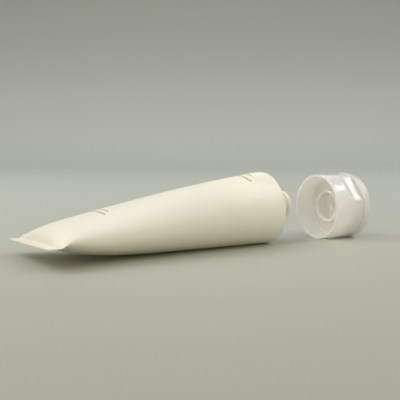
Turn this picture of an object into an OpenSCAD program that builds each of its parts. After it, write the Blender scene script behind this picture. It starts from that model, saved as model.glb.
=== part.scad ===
// Cosmetic squeeze tube lying on its side, with its flip-top screw cap taken off in front of it.
// Millimetres. X runs along the tube from the sealed tail to the neck, Z is up, and the surface is z = 0.
// The origin is the middle of the footprint of tube and cap together.

/* [Sleeve] */
// Outside diameter of the sleeve at its round end
sleeve_d = 40; // [30:1:50]
// Length of the sleeve from the tail edge to the shoulder
sleeve_len = 140; // [100:0.5:180]
// Wall of the extruded sleeve
sleeve_wall = 0.5; // [0.4:0.05:0.8]
// Length over which the sleeve turns in over the shoulder
edge_len = 4; // [3:0.1:9]
// How far it turns in there
edge_in = 5.5; // [3:0.1:7]
// Length of the flat heat seal at the tail
seal_len = 5.3; // [4:0.1:9]
// Power by which the sleeve fills out from the seal, lower is fuller
swell_power = 0.433; // [0.38:0.001:0.6]
// Height of the underside of the seal over the surface
tail_rise = 8.6; // [2:0.1:14]
// Power by which that height falls away along the belly
tail_rise_power = 6.9; // [3:0.1:10]
// Angle by which the seal is turned out of level
tail_twist = -2.5; // [-8:0.5:8]
// How far the middle of the seal sags under its corners
tail_bow = 0.2; // [0:0.1:2]
// Angle by which the head leans back, since the sleeve's back has further to go than its belly
head_lean = 5; // [0:0.5:8]

/* [Head] */
// Height of the cone between the sleeve's edge and the neck
shoulder_rise = 2.2; // [1:0.1:4]
// Diameter of the neck at the root of its thread
neck_d = 14.8; // [12:0.1:15.2]
// Length of the neck
neck_len = 8.8; // [7:0.1:10]
// Diameter of the bore in the neck
neck_bore_d = 9; // [6:0.1:9.6]
// Wall of the moulded shoulder
shoulder_wall = 1.2; // [0.8:0.05:1.6]

/* [Cap] */
// Outside diameter of the cap
cap_d = 37.9; // [34:0.1:44]
// Length of the cap from its open rim to the top of its closed lid
cap_len = 25.7; // [24:0.1:32]
// Wall of the skirt
cap_wall = 1; // [0.8:0.05:1.4]
// Height of the flip lid
lid_len = 5.1; // [4.8:0.1:7]
// Outside diameter of the threaded collar
collar_d = 18.2; // [18:0.1:20]
// Gap round the neck's thread crests in the collar
collar_clearance = 0.15; // [0.1:0.05:0.3]
// Height of the neck's thread crests over its root
thread_depth = 0.7; // [0.5:0.05:0.9]
// Depth of the collar's rim inside the skirt
collar_depth = 7.4; // [6:0.1:8]
// How far the deck is raised inside the collar
deck_raise = 2.6; // [0:0.1:3]
// How far the open rim reaches down over the sleeve's shoulder when the cap is screwed on
rim_drop = 0.8; // [0:0.1:1.5]
// Diameter of the hole that the cream comes out of
orifice_d = 3.6; // [2.5:0.1:3.8]

/* [Thumb recess and hinge] */
// Depth of the flat thumb recess in the skirt
recess_depth = 1.9; // [1:0.1:2.6]
// Height over the open rim at which the recess starts to run in
recess_start = 9.5; // [7:0.1:11]
// Height over the open rim at which the recess is at its full depth
recess_full = 13.8; // [12:0.1:15]
// How far the lid's lip stands proud over the recess
lip_reach = 0.9; // [0.4:0.1:1.4]
// Width of the flat that carries the hinge
hinge_w = 10; // [7:0.5:12]

/* [Layout] */
// Distance from the sleeve's shoulder edge to the cap's open rim, along the tube
cap_ahead = 31.3; // [14:0.1:60]
// Distance of the cap's axis from the tube's, to the left seen from the tail
cap_aside = -2; // [-12:0.5:12]
// Angle of the thumb recess from the top of the cap
cap_roll = 50; // [0:1:80]

/* [Hidden] */

sleeve_colour = "#f0ead6";
head_colour = "#efe9d8";
cap_colour = "#f6f5f0";

// overrun of a cut through a face, play between welded pieces, gap between base and lid
over = 0.5;
weld_gap = 0.1;
seam_gap = 0.25;
arc_step = 15;

// sleeve
sleeve_r = sleeve_d / 2;
sides = 64;
swell_rings = 22;
edge_rings = 8;
seal_fullness = 0.3;
ring_bunching = 2;
twist_power = 2;
pinch = 1.4;
pinch_reach_share = 0.12;
weld_skirt = 3;
edge_start = sleeve_len - edge_len;
round_start = edge_start - weld_skirt;
swell_len = round_start - seal_len;

// head
head_r = sleeve_r - sleeve_wall - weld_gap;
mouth_r = sleeve_r - edge_in;
neck_r = neck_d / 2;
crest_r = neck_r + thread_depth;
root_bead_w = 1.1;
root_bead_h = 1;
neck_chamfer = 0.5;
neck_base = sleeve_len + shoulder_rise;
neck_end = neck_base + neck_len;

// cap, measured along its own axis from the open rim
cap_r = cap_d / 2;
skirt_r = cap_r - cap_wall;
base_len = cap_len - lid_len;
collar_r = collar_d / 2;
collar_bore_r = crest_r + collar_clearance;
deck_t = 1.2;
deck_z = shoulder_rise + neck_len + rim_drop;
pocket_z = deck_z + deck_raise;
rim_round = 0.4;
thumb_x = cap_r - recess_depth;
hinge_x = sqrt(cap_r * cap_r - hinge_w * hinge_w / 4);
hinge_drop = 6;
nozzle_wall = 1.1;
nozzle_r = orifice_d / 2 + nozzle_wall;
nozzle_top = base_len - seam_gap;
film_t = 0.4;
film_w_share = 0.8;
film_w = hinge_w * film_w_share;
film_play = 0.05;

// lid
lid_start = base_len + seam_gap;
lid_wall = 1.1;
lid_top = 1.3;
lid_round = 1.2;
lid_inner_r = cap_r - lid_wall;
lip_shift_share = 0.8;
lip_shift = lip_reach * lip_shift_share;
lip_r = cap_r + lip_reach - lip_shift;
lip_len_share = 0.75;
lip_taper = 0.9;
plug_gap = 0.25;
plug_r = orifice_d / 2 - plug_gap;
plug_depth = 1.4;
plug_wall = 0.6;
snap_h = 1.1;
snap_wall = 0.9;
snap_gap = 0.3;
snap_r = lid_inner_r - snap_gap;
snap_in_r = snap_r - snap_wall;

// layout
total_len = sleeve_len + cap_ahead + cap_len;
tail_x = -total_len / 2;
cap_x = tail_x + sleeve_len + cap_ahead;

$fn = 96;

// Half width of an ellipse of half height b whose girth is that of the round sleeve
function half_width(b) =
    let (r = sleeve_r, p = 6 * r - 4 * b)
    (p + sqrt(p * p - 12 * (3 * b * b - 6 * r * b + 2 * r * r))) / 6;

// Share of the swell at ring i, with the rings closer together near the seal
function share_at(i) = pow(i / swell_rings, ring_bunching);
function half_height(t) = sleeve_r * pow(t, swell_power);
function fade(t) = pow(1 - t, tail_rise_power);
function twist_at(t) = tail_twist * pow(1 - t, twist_power);
function fullness_at(t) = 1 + pinch * exp(-t / pinch_reach_share);

// One closed section of the sleeve at x, half a wide and half b high about the height z
function section(x, a, b, z, twist, power, bow) = [
    for (k = [0 : sides - 1])
        let (
            w = k * 360 / sides,
            y0 = a * cos(w),
            z0 = b * sign(sin(w)) * pow(abs(sin(w)), power) - bow * sin(w) * sin(w)
        )
        [x, y0 * cos(twist) - z0 * sin(twist), z + y0 * sin(twist) + z0 * cos(twist)]
];

// Points leaned back by an angle about the line on the surface at x = pivot
function leaned(points, pivot, angle) = [
    for (p = points)
        [
            pivot + (p.x - pivot) * cos(angle) - p.z * sin(angle),
            p.y,
            (p.x - pivot) * sin(angle) + p.z * cos(angle)
        ]
];

// Section at share t of the swell, moved inwards by inset
function swell_section(t, inset) =
    let (b = half_height(t), x = seal_len + swell_len * t)
    leaned(
        section(x, half_width(b) - inset, b - inset,
            tail_rise * fade(t) + b, twist_at(t), fullness_at(t), tail_bow * fade(t)),
        x, head_lean * t);

// Section at angle w of the turn over the shoulder, moved inwards by inset
function edge_section(w, inset) =
    let (r = mouth_r + (edge_in - inset) * cos(w))
    leaned(section(edge_start + (edge_len - inset) * sin(w), r, r, sleeve_r, 0, 1, 0), round_start, head_lean);

module loft(rings) {
    n = len(rings);
    faces = concat(
        [[for (k = [0 : sides - 1]) k]],
        [
            for (i = [0 : n - 2])
                for (k = [0 : sides - 1])
                    let (m = (k + 1) % sides)
                    [i * sides + k, (i + 1) * sides + k, (i + 1) * sides + m, i * sides + m]
        ],
        [[for (k = [sides - 1 : -1 : 0]) (n - 1) * sides + k]]
    );
    polyhedron(points = [for (ring = rings) each ring], faces = faces, convexity = 4);
}

// Extruded sleeve, flattened and heat sealed at the tail, turned in over the shoulder
module sleeve() {
    b0 = sleeve_wall;
    a0 = half_width(b0);
    seal_rings = [
        for (x = [0, seal_len])
            section(x, a0, b0, tail_rise + b0, tail_twist, seal_fullness, tail_bow)
    ];
    outer_swell = [for (i = [1 : swell_rings]) swell_section(share_at(i), 0)];
    outer_edge = [for (j = [0 : edge_rings]) edge_section(j * 90 / edge_rings, 0)];
    inner_edge = [for (j = [edge_rings : -1 : 0]) edge_section(j * 90 / edge_rings, sleeve_wall)];
    inner_swell = [for (i = [swell_rings : -1 : 1]) swell_section(share_at(i), sleeve_wall)];
    color(sleeve_colour)
        translate([tail_x, 0, 0])
            loft(concat(seal_rings, outer_swell, outer_edge, inner_edge, inner_swell));
}

// Moulded shoulder and neck, welded inside the turned-in end of the sleeve and leaning back with it
module tube_head() {
    weld_in = edge_in - sleeve_wall - weld_gap;
    weld_len = edge_len - sleeve_wall - weld_gap;
    inner_in = weld_in - shoulder_wall;
    inner_len = weld_len - shoulder_wall;
    outline = concat(
        [[head_r, round_start]],
        [for (w = [0 : arc_step : 90]) [mouth_r + weld_in * cos(w), edge_start + weld_len * sin(w)]],
        [
            [mouth_r - weld_gap, edge_start + weld_len],
            [mouth_r - weld_gap, sleeve_len],
            [neck_r + root_bead_w, neck_base],
            [neck_r + root_bead_w, neck_base + root_bead_h],
            [neck_r, neck_base + root_bead_h],
            [neck_r, neck_end - neck_chamfer],
            [neck_r - neck_chamfer, neck_end],
            [neck_bore_d / 2, neck_end],
            [neck_bore_d / 2, sleeve_len - shoulder_wall]
        ],
        [for (w = [90 : -arc_step : 0]) [mouth_r + inner_in * cos(w), edge_start + inner_len * sin(w)]],
        [[head_r - shoulder_wall, round_start]]
    );
    color(head_colour)
        translate([tail_x + round_start, 0, 0])
            rotate([0, -head_lean, 0])
                translate([-round_start, 0, sleeve_r])
                    rotate([0, 90, 0])
                        rotate_extrude()
                            polygon(outline);
}

// Puts the cap's own frame, open rim at zero and thumb recess towards +X, where the cap lies
module as_it_lies() {
    translate([cap_x, cap_aside, cap_r])
        rotate([0, 90, 0])
            rotate([0, 0, 180 + cap_roll])
                children();
}

// What the thumb recess takes from a wall, moved inwards by inset
module thumb_recess(inset) {
    run = (recess_full - recess_start) / recess_depth;
    out_x = cap_r + over;
    translate([0, cap_r, 0])
        rotate([90, 0, 0])
            linear_extrude(cap_d)
                polygon([
                    [thumb_x - inset, recess_full],
                    [thumb_x - inset, cap_len + over],
                    [out_x, cap_len + over],
                    [out_x, recess_full - run * (out_x - thumb_x + inset)]
                ]);
}

// What the hinge flat takes from a wall above the height from, moved inwards by inset
module hinge_flat(from, inset) {
    translate([-hinge_x - cap_r + inset, -cap_r, from])
        cube([cap_r, cap_d, cap_len + over]);
}

module ring(outer_r, inner_r, from, to) {
    translate([0, 0, from])
        difference() {
            cylinder(h = to - from, r = outer_r);
            translate([0, 0, -over])
                cylinder(h = to - from + 2 * over, r = inner_r);
        }
}

// Inside of the base between two heights, following the recess and the hinge flat
module base_hollow(from, to) {
    difference() {
        translate([0, 0, from])
            cylinder(h = to - from, r = skirt_r);
        thumb_recess(cap_wall);
        hinge_flat(base_len - hinge_drop, cap_wall);
    }
}

// Rim that the lid snaps over, grown out of the inside of the wall and open at hinge and thumb
module snap_rim() {
    root_r = skirt_r + cap_wall / 2;
    root_z = base_len - skirt_r + snap_in_r;
    from_x = -hinge_x + lid_wall + snap_gap;
    intersection() {
        rotate_extrude()
            polygon([
                [root_r, root_z],
                [root_r, base_len],
                [snap_r, base_len],
                [snap_r, base_len + snap_h],
                [snap_in_r, base_len + snap_h],
                [snap_in_r, base_len],
                [skirt_r, root_z]
            ]);
        translate([from_x, -cap_r, 0])
            cube([thumb_x - cap_wall / 2 - from_x, cap_d, cap_len]);
    }
}

// Skirt, deck, threaded collar and nozzle of the cap
module cap_base() {
    color(cap_colour)
        as_it_lies() {
            difference() {
                rotate_extrude()
                    polygon([
                        [0, 0],
                        [cap_r - rim_round, 0],
                        [cap_r, rim_round],
                        [cap_r, base_len],
                        [0, base_len]
                    ]);
                thumb_recess(0);
                hinge_flat(base_len - hinge_drop, 0);
                base_hollow(-over, deck_z);
                difference() {
                    base_hollow(deck_z + deck_t, base_len + over);
                    cylinder(h = pocket_z + deck_t, r = collar_r);
                }
                translate([0, 0, -over])
                    cylinder(h = pocket_z + over, r = collar_bore_r);
                cylinder(h = cap_len, r = orifice_d / 2);
            }
            ring(collar_r, collar_bore_r, collar_depth, deck_z);
            ring(nozzle_r, orifice_d / 2, pocket_z + deck_t, nozzle_top);
            snap_rim();
            translate([-hinge_x, -film_w / 2, base_len - over])
                cube([film_t, film_w, over + seam_gap - film_play]);
        }
}

// Flip lid with its thumb lip and plug
module flip_lid() {
    lip_len = (lid_len - seam_gap) * lip_len_share;
    color(cap_colour)
        as_it_lies()
            difference() {
                union() {
                    difference() {
                        union() {
                            rotate_extrude()
                                polygon(concat(
                                    [[0, lid_start], [cap_r, lid_start]],
                                    [
                                        for (w = [0 : arc_step : 90])
                                            [
                                                cap_r - lid_round + lid_round * cos(w),
                                                cap_len - lid_round + lid_round * sin(w)
                                            ]
                                    ],
                                    [[0, cap_len]]
                                ));
                            translate([lip_shift, 0, lid_start])
                                cylinder(h = lip_len, r1 = lip_r, r2 = lip_r - lip_taper);
                        }
                        difference() {
                            translate([0, 0, base_len])
                                cylinder(h = lid_len - lid_top, r = lid_inner_r);
                            translate([thumb_x, -cap_r, 0])
                                cube([cap_d, cap_d, cap_len]);
                            translate([-hinge_x - cap_r + lid_wall, -cap_r, 0])
                                cube([cap_r, cap_d, cap_len]);
                        }
                    }
                    translate([0, 0, nozzle_top - plug_depth])
                        cylinder(h = cap_len - lid_top - nozzle_top + plug_depth + plug_wall, r = plug_r);
                }
                hinge_flat(0, 0);
            }
}

sleeve();
tube_head();
cap_base();
flip_lid();
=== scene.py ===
import math

import bmesh
import bpy
from mathutils import Matrix, Vector


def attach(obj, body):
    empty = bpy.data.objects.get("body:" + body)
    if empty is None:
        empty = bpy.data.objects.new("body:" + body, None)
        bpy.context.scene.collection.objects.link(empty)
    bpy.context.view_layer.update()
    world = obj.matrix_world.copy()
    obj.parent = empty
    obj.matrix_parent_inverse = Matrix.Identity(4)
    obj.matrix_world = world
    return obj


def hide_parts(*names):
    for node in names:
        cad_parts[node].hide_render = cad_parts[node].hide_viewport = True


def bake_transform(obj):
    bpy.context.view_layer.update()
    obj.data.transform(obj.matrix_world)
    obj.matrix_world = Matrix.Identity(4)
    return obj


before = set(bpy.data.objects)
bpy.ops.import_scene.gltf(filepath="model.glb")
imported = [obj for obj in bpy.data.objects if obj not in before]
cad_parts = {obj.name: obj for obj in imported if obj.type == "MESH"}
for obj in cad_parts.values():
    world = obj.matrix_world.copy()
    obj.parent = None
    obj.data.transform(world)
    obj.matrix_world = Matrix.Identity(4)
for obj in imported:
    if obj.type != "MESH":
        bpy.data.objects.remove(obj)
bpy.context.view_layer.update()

mm = 0.001  # shapes are worked out in millimetres and turned to metres when a mesh is finished


# small tools for meshes
def makePiece(name, bm, material, place=None, sharp=35.0):
    bmesh.ops.remove_doubles(bm, verts=bm.verts, dist=0.002)
    openEdges = [e for e in bm.edges if len(e.link_faces) == 1]
    if openEdges:
        bmesh.ops.holes_fill(bm, edges=openEdges, sides=0)
    bmesh.ops.recalc_face_normals(bm, faces=bm.faces)
    bmesh.ops.transform(bm, matrix=Matrix.Scale(mm, 4) @ (place or Matrix()), verts=bm.verts)
    mesh = bpy.data.meshes.new(name)
    bm.to_mesh(mesh)
    bm.free()
    mesh.materials.append(material)
    mesh.shade_smooth()
    mesh.set_sharp_from_angle(angle=math.radians(sharp))
    piece = bpy.data.objects.new(name, mesh)
    bpy.context.scene.collection.objects.link(piece)
    return piece


# turns an outline of radius and height about the axis, then rounds its corners
def lathe(bm, outline, steps, corner=0.0, closed=True):
    verts = [bm.verts.new((r, 0, z)) for r, z in outline]
    edges = [bm.edges.new((a, b)) for a, b in zip(verts, verts[1:])]
    if closed:
        edges.append(bm.edges.new((verts[-1], verts[0])))
    before = set(bm.verts) - set(verts)
    bmesh.ops.spin(bm, geom=verts + edges, cent=(0, 0, 0), axis=(0, 0, 1), dvec=(0, 0, 0), angle=2 * math.pi,
                   steps=steps, use_merge=True, use_duplicate=False)
    turned = [v for v in bm.verts if v not in before]
    bmesh.ops.remove_doubles(bm, verts=turned, dist=0.002)
    if corner:
        turnedNow = {v for v in bm.verts if v not in before}
        corners = [e for e in bm.edges if len(e.link_faces) == 2 and e.verts[0] in turnedNow and e.calc_face_angle() > 0.5]
        bmesh.ops.bevel(bm, geom=corners, offset=corner, offset_type="OFFSET", segments=3, profile=0.5,
                        affect="EDGES", clamp_overlap=True, material=-1)


# winds a right-handed thread: its section is turned and raised, then its ends run out into the wall
def windThread(bm, thread):
    outward = 1 if thread["outward"] else -1
    section = [(-0.2, -0.62), (0.0, -0.5), (0.8, -0.22), (1.0, -0.1), (1.0, 0.1), (0.8, 0.22), (0.0, 0.5), (-0.2, 0.62)]
    before = set(bm.verts)
    verts = []
    for out, up in section:
        verts.append(bm.verts.new((thread["r"] + outward * out * thread["height"], 0, thread["from"] + up * thread["width"])))
    edges = [bm.edges.new((a, b)) for a, b in zip(verts, verts[1:] + verts[:1])]
    steps = round(72 * thread["turns"])
    rise = thread["pitch"] * thread["turns"]
    bmesh.ops.spin(bm, geom=verts + edges, cent=(0, 0, 0), axis=(0, 0, 1), dvec=(0, 0, rise / steps),
                   angle=2 * math.pi * thread["turns"], steps=steps, use_merge=False, use_duplicate=False)
    wound = [v for v in bm.verts if v not in before]
    for v in wound:
        share = min(1.0, max(0.0, (v.co.z - thread["from"]) / rise))
        left = max(0.03, min(1.0, share / thread["runOut"], (1 - share) / thread["runOut"]))
        r = math.hypot(v.co.x, v.co.y)
        over = (r - thread["r"]) * outward
        if over > 0:
            scale = (thread["r"] + outward * over * math.sqrt(left)) / r
            v.co.x *= scale
            v.co.y *= scale


def softMin(a, b, k):
    low = min(a, b)
    return low - k * math.log(math.exp((low - a) / k) + math.exp((low - b) / k))


def ease(low, high, x):
    t = min(1.0, max(0.0, (x - low) / (high - low)))
    return t * t * (3 - 2 * t)


# small tools for materials
def rgb(code):
    channels = [int(code[i:i + 2], 16) / 255 for i in (1, 3, 5)]
    return [c / 12.92 if c <= 0.04045 else ((c + 0.055) / 1.055) ** 2.4 for c in channels] + [1.0]


def newMaterial(name):
    material = bpy.data.materials.new(name)
    material.use_nodes = True
    material.node_tree.nodes.clear()
    shader = addNode(material, "ShaderNodeBsdfPrincipled")
    addNode(material, "ShaderNodeOutputMaterial", None, {0: shader.outputs[0]})
    return material, shader


def addNode(material, kind, settings=None, inputs=None):
    node = material.node_tree.nodes.new(kind)
    for key, value in (settings or {}).items():
        setattr(node, key, value)
    for key, value in (inputs or {}).items():
        if isinstance(value, bpy.types.NodeSocket):
            material.node_tree.links.new(value, node.inputs[key])
        else:
            node.inputs[key].default_value = value
    return node


def setShader(material, shader, values):
    for key, value in values.items():
        if isinstance(value, bpy.types.NodeSocket):
            material.node_tree.links.new(value, shader.inputs[key])
        else:
            shader.inputs[key].default_value = value


# the sleeve: a round tube of constant girth pressed flat and sealed at the tail
# near the tail its far side is pinched, and the side towards the front is softer and sags a little
sleeve = {
    "r": 20.0, "length": 140.0, "wall": 0.5, "seal": 5.3, "edgeLength": 4.0, "edgeIn": 5.5, "skirt": 3.0,
    "power": 0.433, "rise": 8.6, "risePower": 6.9, "twist": -2.5, "bow": 0.2, "lean": 5.0,
    "pinch": 1.4, "pinchReach": 0.12, "nearReach": 0.025, "soft": 0.22, "sag": 1.6, "sagAt": 0.012,
    "sealFull": 0.3, "lip": 0.16, "lipAt": 0.33, "lipReach": 0.06, "sides": 180, "rows": 80,
}
cap = {
    "r": 18.95, "length": 25.7, "wall": 1.0, "lid": 5.1, "seam": 0.06, "ahead": 31.3, "aside": -2.0, "roll": 50.0,
    "rimRound": 0.35, "recess": 1.9, "recessStart": 9.5, "recessFull": 13.8, "hingeWidth": 10.0, "hingeDrop": 6.0,
    "collar": 9.1, "collarBore": 8.25, "collarDepth": 7.4, "deck": 11.8, "deckRaise": 2.6, "deckWall": 1.2, "fillet": 0.8,
    "orifice": 1.8, "nozzleWall": 1.1,
    "snapHeight": 1.1, "snapWall": 0.9, "snapGap": 0.3, "snapThumb": (0.56, 0.62), "snapHinge": (0.42, 0.36),
    "threadHeight": 0.5, "threadWidth": 1.4, "threadTurns": 1.2, "threadFrom": 0.85,
    "lidWall": 1.1, "corner": 0.12, "blend": 0.03, "steps": 360,
}
tailX = -(sleeve["length"] + cap["ahead"] + cap["length"]) / 2
edgeStart = sleeve["length"] - sleeve["edgeLength"]
roundStart = edgeStart - sleeve["skirt"]
swellLength = roundStart - sleeve["seal"]


# half width of an ellipse of half height b whose girth is the round sleeve's
def halfWidth(b):
    r = sleeve["r"]
    p = 6 * r - 4 * b
    return (p + math.sqrt(p * p - 12 * (3 * b * b - 6 * r * b + 2 * r * r))) / 6


def leaned(x, y, z, pivot, degrees):
    a = math.radians(degrees)
    return Vector((tailX + pivot + (x - pivot) * math.cos(a) - z * math.sin(a), y, (x - pivot) * math.sin(a) + z * math.cos(a)))


# a point on the flat seal, the swell or the turn over the shoulder; angle 90 is on top
def sleevePoint(part, share, inset, degrees):
    s, c = math.sin(math.radians(degrees)), math.cos(math.radians(degrees))
    if part == "edge":
        turn = math.radians(90 * share)
        lip = sleeve["lip"] * math.exp(-((share - sleeve["lipAt"]) / sleeve["lipReach"]) ** 2) if inset == 0 else 0.0
        r = sleeve["r"] - sleeve["edgeIn"] + (sleeve["edgeIn"] - inset + lip) * math.cos(turn)
        x = edgeStart + (sleeve["edgeLength"] - inset + lip) * math.sin(turn)
        return leaned(x, r * c, sleeve["r"] + r * s, roundStart, sleeve["lean"])
    t = share if part == "swell" else 0.0
    fade = (1 - t) ** sleeve["risePower"]
    b = sleeve["r"] * t ** sleeve["power"] if part == "swell" else sleeve["wall"]
    near = (1 - c) / 2
    full, sag = sleeve["sealFull"], 0.0
    if part == "swell":
        farFull = 1 + sleeve["pinch"] * math.exp(-t / sleeve["pinchReach"])
        nearFull = 1 + sleeve["pinch"] * math.exp(-t / sleeve["nearReach"]) - sleeve["soft"] * (1 - t) ** 2
        full = farFull + (nearFull - farFull) * near
        sag = sleeve["sag"] * near * c * c * t / sleeve["sagAt"] * math.exp(1 - t / sleeve["sagAt"])
    x = sleeve["seal"] + swellLength * t if part == "swell" else sleeve["seal"] * share
    twist = math.radians(sleeve["twist"] * (1 - t) ** 2)
    y = (halfWidth(b) - inset) * c
    z = (b - inset) * math.copysign(abs(s) ** full, s) - sleeve["bow"] * fade * s * s - sag
    up = sleeve["rise"] * fade + b + y * math.sin(twist) + z * math.cos(twist)
    return leaned(x, y * math.cos(twist) - z * math.sin(twist), up, x, sleeve["lean"] * t)


# extruded PE, satin: soft broad sheen, faint cloudiness and jaw ribs pressed into the seal
sleevePE, shader = newMaterial("extruded PE sleeve")
where = addNode(sleevePE, "ShaderNodeTexCoord").outputs["Object"]
cloud = addNode(sleevePE, "ShaderNodeTexNoise", None, {"Vector": where, "Scale": 60.0, "Detail": 3.0}).outputs[0]
skin = addNode(sleevePE, "ShaderNodeTexNoise", None, {"Vector": where, "Scale": 1400.0, "Detail": 2.0}).outputs[0]
ribs = addNode(sleevePE, "ShaderNodeTexWave", {"bands_direction": "X"}, {"Vector": where, "Scale": 420.0}).outputs[0]
axes = addNode(sleevePE, "ShaderNodeSeparateXYZ", None, {0: where}).outputs
sealEnd = tailX + sleeve["seal"]
sealRamp = {0: axes[0], 1: (sealEnd - 0.4) * mm, 2: sealEnd * mm, 3: 1.0, 4: 0.0}
inSeal = addNode(sleevePE, "ShaderNodeMapRange", None, sealRamp).outputs[0]
sealRibs = addNode(sleevePE, "ShaderNodeMath", {"operation": "MULTIPLY"}, {0: ribs, 1: inSeal}).outputs[0]
tint = addNode(sleevePE, "ShaderNodeMix", {"data_type": "RGBA"}, {0: cloud, 6: rgb("#f3eedd"), 7: rgb("#f0ead6")}).outputs[2]
gloss = addNode(sleevePE, "ShaderNodeMapRange", None, {0: cloud, 1: 0.3, 2: 0.7, 3: 0.38, 4: 0.45}).outputs[0]
# the welding tool irons the rolled edge smoother than the rest
edgeRamp = {0: axes[0], 1: (tailX + edgeStart) * mm, 2: (tailX + edgeStart + 0.8) * mm}
ironed = addNode(sleevePE, "ShaderNodeMapRange", None, edgeRamp).outputs[0]
gloss = addNode(sleevePE, "ShaderNodeMix", {"data_type": "FLOAT"}, {0: ironed, 2: gloss, 3: 0.17}).outputs[0]
skinBump = addNode(sleevePE, "ShaderNodeBump", None, {"Strength": 1.0, "Distance": 0.004 * mm, "Height": skin}).outputs[0]
ribDepth = {"Strength": 1.0, "Distance": 0.035 * mm, "Height": sealRibs, "Normal": skinBump}
sealBump = addNode(sleevePE, "ShaderNodeBump", None, ribDepth).outputs[0]
setShader(sleevePE, shader, {
    "Base Color": tint, "Roughness": gloss, "Normal": sealBump, "IOR": 1.51,
    "Subsurface Weight": 0.3, "Subsurface Radius": (1.0, 0.8, 0.5), "Subsurface Scale": 0.001,
})


def buildSleeve():
    n = sleeve["rows"]
    sealRows = ((0.0, 0.25), (0.02, 0.08), (0.06, 0.0), (0.3, 0.0), (0.65, 0.0), (1.0, 0.0))
    rows = [("seal", share, inset) for share, inset in sealRows]
    rows += [("swell", (i / n) ** 2, 0.0) for i in range(3, n + 1)]
    rows += [("edge", j / 28, 0.0) for j in range(29)]
    rows += [("edge", j / 8, sleeve["wall"]) for j in range(8, -1, -1)]
    rows += [("swell", (i / 22) ** 2, sleeve["wall"]) for i in range(22, 0, -1)]
    bm = bmesh.new()
    bmesh.ops.create_grid(bm, x_segments=sleeve["sides"], y_segments=len(rows) - 1, size=1.0)
    for v in bm.verts:
        part, share, inset = rows[round((v.co.y + 1) / 2 * (len(rows) - 1))]
        v.co = sleevePoint(part, share, inset, 180 * (v.co.x + 1))
    return makePiece("sleeveSkin", bm, sleevePE, sharp=45.0)


sleeveSkin = buildSleeve()
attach(sleeveSkin, "tube_and_cap")
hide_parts("sleeve")
print("sleeve built")

# the head: shoulder and neck in one moulding, leaning back with the sleeve's end
head = {
    "rise": 2.2, "root": 7.4, "crest": 8.1, "neck": 8.8, "bore": 4.5, "wall": 1.2, "weldGap": 0.1, "corner": 0.22,
    "bead": 1.1, "beadHeight": 1.0, "pitch": 2.6, "threadWidth": 1.5, "turns": 2.1, "threadFrom": 2.3,
    "runOut": 0.14,
}
# moulded PE, a little glossier than the sleeve
headPE, shader = newMaterial("moulded PE head")
where = addNode(headPE, "ShaderNodeTexCoord").outputs["Object"]
cloud = addNode(headPE, "ShaderNodeTexNoise", None, {"Vector": where, "Scale": 120.0, "Detail": 3.0}).outputs[0]
skin = addNode(headPE, "ShaderNodeTexNoise", None, {"Vector": where, "Scale": 900.0, "Detail": 2.0}).outputs[0]
tint = addNode(headPE, "ShaderNodeMix", {"data_type": "RGBA"}, {0: cloud, 6: rgb("#f3eddb"), 7: rgb("#efe8d3")}).outputs[2]
gloss = addNode(headPE, "ShaderNodeMapRange", None, {0: cloud, 1: 0.3, 2: 0.7, 3: 0.24, 4: 0.32}).outputs[0]
bump = addNode(headPE, "ShaderNodeBump", None, {"Strength": 1.0, "Distance": 0.004 * mm, "Height": skin}).outputs[0]
setShader(headPE, shader, {
    "Base Color": tint, "Roughness": gloss, "Normal": bump, "IOR": 1.51,
    "Subsurface Weight": 0.2, "Subsurface Radius": (1.0, 0.85, 0.6), "Subsurface Scale": 0.0015,
})
headPlace = (Matrix.Translation((tailX + roundStart, 0, 0)) @ Matrix.Rotation(math.radians(-sleeve["lean"]), 4, "Y")
             @ Matrix.Translation((-roundStart, 0, sleeve["r"])) @ Matrix.Rotation(math.pi / 2, 4, "Y"))


def buildHead():
    mouth = sleeve["r"] - sleeve["edgeIn"]
    weldIn = sleeve["edgeIn"] - sleeve["wall"] - head["weldGap"]
    weldLength = sleeve["edgeLength"] - sleeve["wall"] - head["weldGap"]
    base = sleeve["length"] + head["rise"]
    end = base + head["neck"]
    bead = head["root"] + head["bead"]
    turns = [math.radians(w) for w in range(0, 91, 10)]
    outline = [(mouth + weldIn, roundStart)]
    outline += [(mouth + weldIn * math.cos(a), edgeStart + weldLength * math.sin(a)) for a in turns]
    outline += [(mouth - 0.1, edgeStart + weldLength), (mouth - 0.1, sleeve["length"] - 0.06)]
    outline += [(bead, base), (bead, base + head["beadHeight"]), (head["root"], base + head["beadHeight"])]
    outline += [(head["root"], end), (head["bore"], end), (head["bore"], sleeve["length"] - head["wall"])]
    innerIn, innerLength = weldIn - head["wall"], weldLength - head["wall"]
    outline += [(mouth + innerIn * math.cos(a), edgeStart + innerLength * math.sin(a)) for a in reversed(turns)]
    outline += [(mouth + weldIn - head["wall"], roundStart)]
    bm = bmesh.new()
    lathe(bm, outline, 144, head["corner"])
    windThread(bm, {"r": head["root"], "height": head["crest"] - head["root"], "width": head["threadWidth"],
                    "pitch": head["pitch"], "turns": head["turns"], "from": base + head["threadFrom"],
                    "runOut": head["runOut"], "outward": True})
    return makePiece("tubeHead", bm, headPE, headPlace)


tubeHead = buildHead()
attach(tubeHead, "tube_and_cap")
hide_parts("tube_head")
print("head built")

# the cap: worked out along its own axis from the open rim, with the thumb recess towards its X
baseTop = cap["length"] - cap["lid"]
lidStart = baseTop + cap["seam"]
hingeX = math.sqrt(cap["r"] ** 2 - cap["hingeWidth"] ** 2 / 4)
thumbX = cap["r"] - cap["recess"]
lidInner = cap["r"] - cap["lidWall"]
capRim = tailX + sleeve["length"] + cap["ahead"]
capPlace = (Matrix.Translation((capRim, cap["aside"], cap["r"])) @ Matrix.Rotation(math.pi / 2, 4, "Y")
            @ Matrix.Rotation(math.radians(180 + cap["roll"]), 4, "Z"))

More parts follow.
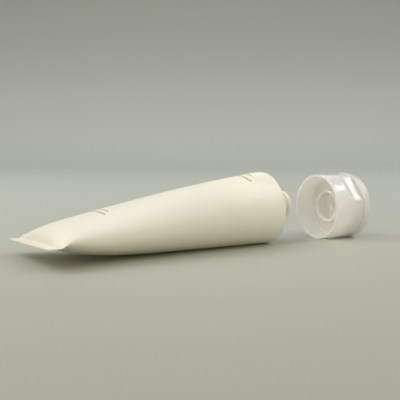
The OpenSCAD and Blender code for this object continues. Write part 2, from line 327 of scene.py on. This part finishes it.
# moulded PP, glossy and slightly translucent, with the faint waviness of a polished mould
capPP, shader = newMaterial("moulded PP cap")
where = addNode(capPP, "ShaderNodeTexCoord").outputs["Object"]
cloud = addNode(capPP, "ShaderNodeTexNoise", None, {"Vector": where, "Scale": 90.0, "Detail": 3.0}).outputs[0]
wave = addNode(capPP, "ShaderNodeTexNoise", None, {"Vector": where, "Scale": 260.0, "Detail": 2.0}).outputs[0]
tint = addNode(capPP, "ShaderNodeMix", {"data_type": "RGBA"}, {0: cloud, 6: rgb("#fdfcf9"), 7: rgb("#fbfaf6")}).outputs[2]
gloss = addNode(capPP, "ShaderNodeMapRange", None, {0: cloud, 1: 0.3, 2: 0.7, 3: 0.09, 4: 0.13}).outputs[0]
bump = addNode(capPP, "ShaderNodeBump", None, {"Strength": 1.0, "Distance": 0.006 * mm, "Height": wave}).outputs[0]
setShader(capPP, shader, {
    "Base Color": tint, "Roughness": gloss, "Normal": bump, "IOR": 1.5, "Coat Weight": 0.6, "Coat Roughness": 0.06,
    "Subsurface Weight": 0.3, "Subsurface Radius": (1.0, 0.95, 0.85), "Subsurface Scale": 0.003,
})
# light also passes right through the thin walls, so the inside of the skirt glows under its lit top
through = addNode(capPP, "ShaderNodeBsdfTranslucent", None, {"Color": tint}).outputs[0]
mixed = addNode(capPP, "ShaderNodeMixShader", None, {0: 0.45, 1: shader.outputs[0], 2: through}).outputs[0]
capPP.node_tree.links.new(mixed, capPP.node_tree.nodes["Material Output"].inputs[0])


# how far the wall that lies inset inside the outer face may reach at angle a, cut by recess and hinge flat
def wallReach(inset, a, z):
    r = cap["r"] - inset
    along = (z - cap["recessStart"]) / (cap["recessFull"] - cap["recessStart"])
    if math.cos(a) > 0.3 and along > 0:
        r = softMin(r, (cap["r"] - cap["recess"] * min(along, 1.0) - inset) / math.cos(a), cap["blend"])
    if math.cos(a) < -0.3:
        flatFrom = baseTop - cap["hingeDrop"]
        flat = hingeX + (cap["r"] - hingeX) * (1 - ease(flatFrom - 0.5, flatFrom + 0.2, z))
        r = softMin(r, (flat - inset) / -math.cos(a), cap["blend"])
    return r


# presses recess and hinge flat into turned walls; the snap rim sinks away at hinge and thumb
def pressBase(bm):
    for v in bm.verts:
        r, a = math.hypot(v.co.x, v.co.y), math.atan2(v.co.y, v.co.x)
        if r < cap["r"] - 3:
            continue
        reach = wallReach(cap["r"] - r, a, v.co.z)
        if v.co.z > baseTop - 0.6 and r < cap["r"] - cap["wall"] - 0.15:
            thumb, hinge = cap["snapThumb"], cap["snapHinge"]
            stands = ease(thumb[0], thumb[1], abs(a)) * (1 - ease(math.pi - hinge[0], math.pi - hinge[1], abs(a)))
            inner = wallReach(cap["wall"] - 0.2, a, v.co.z)
            reach = inner + (min(r, inner) - inner) * stands
            v.co.z = baseTop - 0.1 + (v.co.z - baseTop + 0.1) * stands if v.co.z > baseTop - 0.1 else v.co.z
        v.co.x, v.co.y = reach * math.cos(a), reach * math.sin(a)


def buildBase():
    skirt = cap["r"] - cap["wall"]
    snapOut = lidInner - cap["snapGap"]
    snapIn = snapOut - cap["snapWall"]
    deck, pocket, wall, fillet = cap["deck"], cap["deck"] + cap["deckRaise"], cap["deckWall"], cap["fillet"]
    nozzle = cap["orifice"] + cap["nozzleWall"]
    nozzleTop = baseTop - 0.25
    levels = [3.0, 6.0, 8.6] + [cap["recessStart"] + 0.43 * i for i in range(12)] + [15.0, 15.5, 17.0, 18.5]
    turns = [math.radians(15 * i) for i in range(7)]
    rim = cap["rimRound"]
    outline = [(cap["r"] - rim + rim * math.sin(w), rim - rim * math.cos(w)) for w in turns]
    outline += [(cap["r"], z) for z in levels] + [(cap["r"], baseTop), (snapOut, baseTop)]
    outline += [(snapOut, baseTop + cap["snapHeight"]), (snapIn, baseTop + cap["snapHeight"]), (snapIn, baseTop)]
    outline += [(skirt, baseTop - skirt + snapIn)]
    outline += [(skirt, z) for z in reversed(levels) if z > deck + wall + 0.2]
    outline += [(skirt, deck + wall), (cap["collar"], deck + wall), (cap["collar"], pocket + wall)]
    outline += [(nozzle, pocket + wall), (nozzle, nozzleTop), (cap["orifice"], nozzleTop), (cap["orifice"], pocket)]
    outline += [(cap["collarBore"], pocket), (cap["collarBore"], cap["collarDepth"])]
    outline += [(cap["collar"], cap["collarDepth"]), (cap["collar"], deck)]
    outline += [(skirt - fillet + fillet * math.sin(w), deck - fillet + fillet * math.cos(w)) for w in turns]
    outline += [(skirt, z) for z in reversed(levels) if z < deck - fillet - 0.1] + [(skirt, 0.0)]
    bm = bmesh.new()
    lathe(bm, outline, cap["steps"], cap["corner"])
    pressBase(bm)
    windThread(bm, {"r": cap["collarBore"], "height": cap["threadHeight"], "width": cap["threadWidth"],
                    "pitch": head["pitch"], "turns": cap["threadTurns"], "from": cap["collarDepth"] + cap["threadFrom"],
                    "runOut": head["runOut"], "outward": False})
    return makePiece("capBase", bm, capPP, capPlace)


capBase = buildBase()
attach(capBase, "tube_and_cap")
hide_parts("cap_base")
print("cap base built")

lid = {"round": 1.2, "top": 1.3, "lipReach": 0.9, "lipShare": 0.75, "lipTaper": 0.9, "plugGap": 0.25, "plugDepth": 1.4}


def buildLid():
    top, rounding = cap["length"], lid["round"]
    shift = lid["lipReach"] * 0.8
    lipLength = (top - lidStart) * lid["lipShare"]
    plug = cap["orifice"] - lid["plugGap"]
    plugTip = baseTop - 0.25 - lid["plugDepth"]
    ceiling = top - lid["top"]
    side = [lidStart + lipLength * i / 8 for i in range(1, 9)]
    turns = [math.radians(w) for w in range(0, 91, 10)]
    outline = [(0.0, plugTip), (plug, plugTip), (plug, ceiling), (lidInner, ceiling), (lidInner, lidStart), (cap["r"], lidStart)]
    outline += [(cap["r"], z) for z in side if z < top - rounding - 0.1]
    outline += [(cap["r"] - rounding + rounding * math.cos(w), top - rounding + rounding * math.sin(w)) for w in turns]
    outline += [(cap["r"] * share, top) for share in (0.85, 0.6, 0.3, 0.0)]
    bm = bmesh.new()
    lathe(bm, outline, cap["steps"], cap["corner"], closed=False)
    for v in bm.verts:
        r, a, z = math.hypot(v.co.x, v.co.y), math.atan2(v.co.y, v.co.x), v.co.z
        if r < 10:
            continue
        outside = r > lidInner + 0.3
        if outside and z < lidStart + lipLength:
            cone = cap["r"] + lid["lipReach"] - shift - lid["lipTaper"] * (z - lidStart) / lipLength
            lip = shift * math.cos(a) + math.sqrt(cone ** 2 - (shift * math.sin(a)) ** 2)
            r += max(0.0, lip - cap["r"])
        if math.cos(a) < -0.3:
            r = softMin(r, (hingeX - (0 if outside else cap["lidWall"])) / -math.cos(a), cap["blend"])
        if not outside and math.cos(a) > 0.3:
            r = softMin(r, thumbX / math.cos(a), cap["blend"])
        v.co.x, v.co.y = r * math.cos(a), r * math.sin(a)
    return makePiece("flipLid", bm, capPP, capPlace)


flipLid = buildLid()
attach(flipLid, "lid")
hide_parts("flip_lid")
print("lid built")


# the living hinge: a thin strap across the seam on the hinge flat
film = {"width": 8.0, "thick": 0.25, "reach": 0.9}


def buildFilm():
    bm = bmesh.new()
    bmesh.ops.create_grid(bm, x_segments=6, y_segments=20, size=1.0)
    for v in bm.verts:
        z = baseTop + cap["seam"] / 2 + v.co.y * film["reach"]
        bulge = 0.12 * math.exp(-(v.co.y * film["reach"] / 0.3) ** 2)
        v.co = Vector((-hingeX + 0.12 + bulge, v.co.x * film["width"] / 2, z))
    bmesh.ops.solidify(bm, geom=bm.faces, thickness=film["thick"])
    return makePiece("hingeFilm", bm, capPP, capPlace)


hingeFilm = buildFilm()
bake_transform(hingeFilm)
print("hinge film built")

# print: rows of plain bars across the top of the sleeve, each at a share of the swell and from angle to angle
barShare = {"first": 0.8, "rest": 0.88}  # how much of its spacing a bar fills; every third is shorter
printRows = [
    {"share": 0.236, "from": 70, "to": 114, "bars": 7, "height": 1.0},
    {"share": 0.262, "from": 80, "to": 106, "bars": 4, "height": 0.8},
    {"share": 0.912, "from": 63, "to": 117, "bars": 3, "height": 1.3},
    {"share": 0.916, "from": 116, "to": 121, "bars": 1, "height": 1.9},
    {"share": 0.95, "from": 92, "to": 107, "bars": 1, "height": 1.2},
]
# flat brown ink, barely thicker than nothing, a little rougher than the sleeve
printInk, shader = newMaterial("brown printing ink")
where = addNode(printInk, "ShaderNodeTexCoord").outputs["Object"]
cloud = addNode(printInk, "ShaderNodeTexNoise", None, {"Vector": where, "Scale": 900.0, "Detail": 2.0}).outputs[0]
tint = addNode(printInk, "ShaderNodeMix", {"data_type": "RGBA"}, {0: cloud, 6: rgb("#ab9d82"), 7: rgb("#bcaf95")}).outputs[2]
gloss = addNode(printInk, "ShaderNodeMapRange", None, {0: cloud, 1: 0.3, 2: 0.7, 3: 0.42, 4: 0.5}).outputs[0]
bump = addNode(printInk, "ShaderNodeBump", None, {"Strength": 1.0, "Distance": 0.004 * mm, "Height": cloud}).outputs[0]
setShader(printInk, shader, {"Base Color": tint, "Roughness": gloss, "Normal": bump, "IOR": 1.5})


inkThick = 0.02


def buildPrint():
    bm = bmesh.new()
    for row in printRows:
        spacing = (row["to"] - row["from"]) / row["bars"]
        for i in range(row["bars"]):
            old = set(bm.verts)
            bmesh.ops.create_grid(bm, x_segments=4, y_segments=2, size=1.0)
            first = row["from"] + spacing * i
            for v in (v for v in bm.verts if v not in old):
                angle = first + spacing * barShare["rest" if i % 3 else "first"] * (v.co.x + 1) / 2
                v.co = sleevePoint("swell", row["share"] + row["height"] / 2 / swellLength * v.co.y, -inkThick, angle)
    mesh = bpy.data.meshes.new("printMarks")
    bmesh.ops.transform(bm, matrix=Matrix.Scale(mm, 4), verts=bm.verts)
    bm.normal_update()
    for face in bm.faces:
        if face.normal.z < 0:
            face.normal_flip()
    bm.to_mesh(mesh)
    bm.free()
    mesh.materials.append(printInk)
    mesh.shade_smooth()
    piece = bpy.data.objects.new("printMarks", mesh)
    bpy.context.scene.collection.objects.link(piece)
    return piece


printMarks = buildPrint()
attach(printMarks, "tube_and_cap")
print("print built")

# camera, placed from a point on the floor below it
shot = {"lens": 63.0, "height": 57.13, "pitch": 4.771, "yaw": 29.993, "across": 36.574, "depth": 394.417}
yaw = math.radians(shot["yaw"])


# a point given right of, in front of and above the camera's foot
def fromShot(x, y, z):
    dx, dy = x - shot["across"], y - shot["depth"]
    x = tailX + edgeStart + dx * math.cos(yaw) + dy * math.sin(yaw)
    return Vector((x, -dx * math.sin(yaw) + dy * math.cos(yaw), z)) * mm


cameraData = bpy.data.cameras.new("camera")
cameraData.lens = shot["lens"]
cameraData.sensor_width = 36.0
cameraData.clip_start = 0.01
cameraData.clip_end = 20.0
camera = bpy.data.objects.new("camera", cameraData)
camera.location = fromShot(0, 0, shot["height"])
pitch = math.radians(shot["pitch"])
look = Vector((math.sin(yaw) * math.cos(pitch), math.cos(yaw) * math.cos(pitch), -math.sin(pitch)))
camera.rotation_mode = "QUATERNION"
camera.rotation_quaternion = look.to_track_quat("-Z", "Y")
bpy.context.scene.collection.objects.link(camera)
bpy.context.scene.camera = camera

# stage: one pale board that turns up far behind the object; its colour is given by metres run back and up along it, and
# that colour is painted light and shade: painted shade near the camera and towards the top of the wall, painted light
# where the floor bends up
stage = {
    "near": -1500.0, "bend": 1300.0, "radius": 500.0, "top": 900.0, "halfWidth": 3500.0, "from": -0.25, "to": 2.35,
    "falloffTones": [(-0.22, "#a5a799"), (-0.07, "#b3b5a7"), (0.31, "#bcbfb4"), (0.67, "#c3c8bd"), (1.34, "#cdd3c9"), (1.64, "#d0d4cb"),
              (1.86, "#cacec4"), (2.11, "#bdc1b8"), (2.29, "#b4b8af")],
}
boardFalloffPaint, shader = newMaterial("board with painted light falloff")
where = addNode(boardFalloffPaint, "ShaderNodeTexCoord").outputs["Object"]
axes = addNode(boardFalloffPaint, "ShaderNodeSeparateXYZ", None, {0: where}).outputs
run = addNode(boardFalloffPaint, "ShaderNodeMath", {"operation": "ADD"}, {0: axes[1], 1: axes[2]}).outputs[0]
along = addNode(boardFalloffPaint, "ShaderNodeMapRange", None, {0: run, 1: stage["from"], 2: stage["to"], 3: 0.0, 4: 1.0}).outputs[0]
# this ramp paints the light's falloff into the board: darker towards the camera and up the wall, lightest at the bend
falloffTones = addNode(boardFalloffPaint, "ShaderNodeValToRGB", None, {0: along})
for at, colour in stage["falloffTones"][1:-1]:
    falloffTones.color_ramp.elements.new((at - stage["from"]) / (stage["to"] - stage["from"])).color = rgb(colour)
falloffTones.color_ramp.elements[0].color = rgb(stage["falloffTones"][0][1])
falloffTones.color_ramp.elements[-1].color = rgb(stage["falloffTones"][-1][1])
tint = falloffTones.outputs[0]
grain = addNode(boardFalloffPaint, "ShaderNodeTexNoise", None, {"Vector": where, "Scale": 900.0, "Detail": 2.0}).outputs[0]
bump = addNode(boardFalloffPaint, "ShaderNodeBump", None, {"Strength": 1.0, "Distance": 0.01 * mm, "Height": grain}).outputs[0]
setShader(boardFalloffPaint, shader, {"Base Color": tint, "Roughness": 0.5, "IOR": 1.4, "Normal": bump})


def buildStage():
    bm = bmesh.new()
    profile = [(stage["near"], 0.0), (stage["bend"], 0.0)]
    for w in [math.radians(6 * i) for i in range(1, 16)]:
        profile.append((stage["bend"] + stage["radius"] * math.sin(w), stage["radius"] * (1 - math.cos(w))))
    profile += [(stage["bend"] + stage["radius"], stage["top"])]
    verts = [bm.verts.new((-stage["halfWidth"] * mm, y * mm, z * mm)) for y, z in profile]
    edges = [bm.edges.new((a, b)) for a, b in zip(verts, verts[1:])]
    made = bmesh.ops.extrude_edge_only(bm, edges=edges)["geom"]
    bmesh.ops.translate(bm, vec=(2 * stage["halfWidth"] * mm, 0, 0), verts=[v for v in made if isinstance(v, bmesh.types.BMVert)])
    for face in bm.faces:
        if face.normal.z < -0.01 or face.normal.y > 0.01:
            face.normal_flip()
    mesh = bpy.data.meshes.new("sweep")
    bm.to_mesh(mesh)
    bm.free()
    mesh.materials.append(boardFalloffPaint)
    mesh.shade_smooth()
    sweep = bpy.data.objects.new("sweep", mesh)
    sweep.rotation_euler = (0, 0, -yaw)
    bpy.context.scene.collection.objects.link(sweep)
    return sweep


buildStage()

# lamps, placed like the camera; the small gridded one looks into the open cap
lamps = [
    {"name": "leftBox", "at": (-650, 460, 760), "aim": (60, 400, 10), "size": (0.6, 0.6),
     "watts": 3.5, "colour": "#ffffff"},
    {"name": "rightBox", "at": (905, 440, 600), "aim": (90, 410, 20), "size": (1.2, 0.54),
     "watts": 1.6, "colour": "#ffffff"},
    {"name": "windowBox", "at": (848, 551, 811), "aim": (90, 408, 30), "size": (0.4, 0.14),
     "watts": 1.05, "colour": "#ffffff"},
    {"name": "frontFill", "at": (-420, -650, 190), "aim": (60, 400, 20), "size": (0.9, 0.22),
     "watts": 2.15, "colour": "#ffe6c4"},
    {"name": "mouthBox", "at": (-188, -3, 331), "aim": (74, 402, 12), "size": (0.04, 0.04),
     "watts": 0.0034, "colour": "#fffaf2", "spread": 7},
]
for lamp in lamps:
    data = bpy.data.lights.new(lamp["name"], "AREA")
    data.shape = "RECTANGLE"
    data.size, data.size_y = lamp["size"]
    data.energy = lamp["watts"]
    data.color = rgb(lamp["colour"])[:3]
    data.spread = math.radians(lamp.get("spread", 180))  # a narrow spread is a honeycomb grid on the softbox
    light = bpy.data.objects.new(lamp["name"], data)
    light.location = fromShot(*lamp["at"])
    light.rotation_mode = "QUATERNION"
    light.rotation_quaternion = (fromShot(*lamp["aim"]) - light.location).to_track_quat("-Z", "Y")
    bpy.context.scene.collection.objects.link(light)

# the room: an even white ceiling over warmer, darker walls
room = bpy.data.worlds.new("room")
room.use_nodes = True
ceiling = {"from": 0.3, "to": 0.38, "walls": (0.47, 0.435, 0.38, 1.0), "above": (0.71, 0.71, 0.71, 1.0)}
direction = addNode(room, "ShaderNodeTexCoord").outputs["Generated"]
height = addNode(room, "ShaderNodeSeparateXYZ", None, {0: direction}).outputs[2]
share = addNode(room, "ShaderNodeMapRange", None, {0: height, 1: ceiling["from"], 2: ceiling["to"], 3: 0.0, 4: 1.0}).outputs[0]
glow = addNode(room, "ShaderNodeMix", {"data_type": "RGBA"}, {0: share, 6: ceiling["walls"], 7: ceiling["above"]}).outputs[2]
room.node_tree.links.new(glow, room.node_tree.nodes["Background"].inputs[0])
bpy.context.scene.world = room
bpy.context.scene.view_settings.view_transform = "Standard"
print("stage and light set")
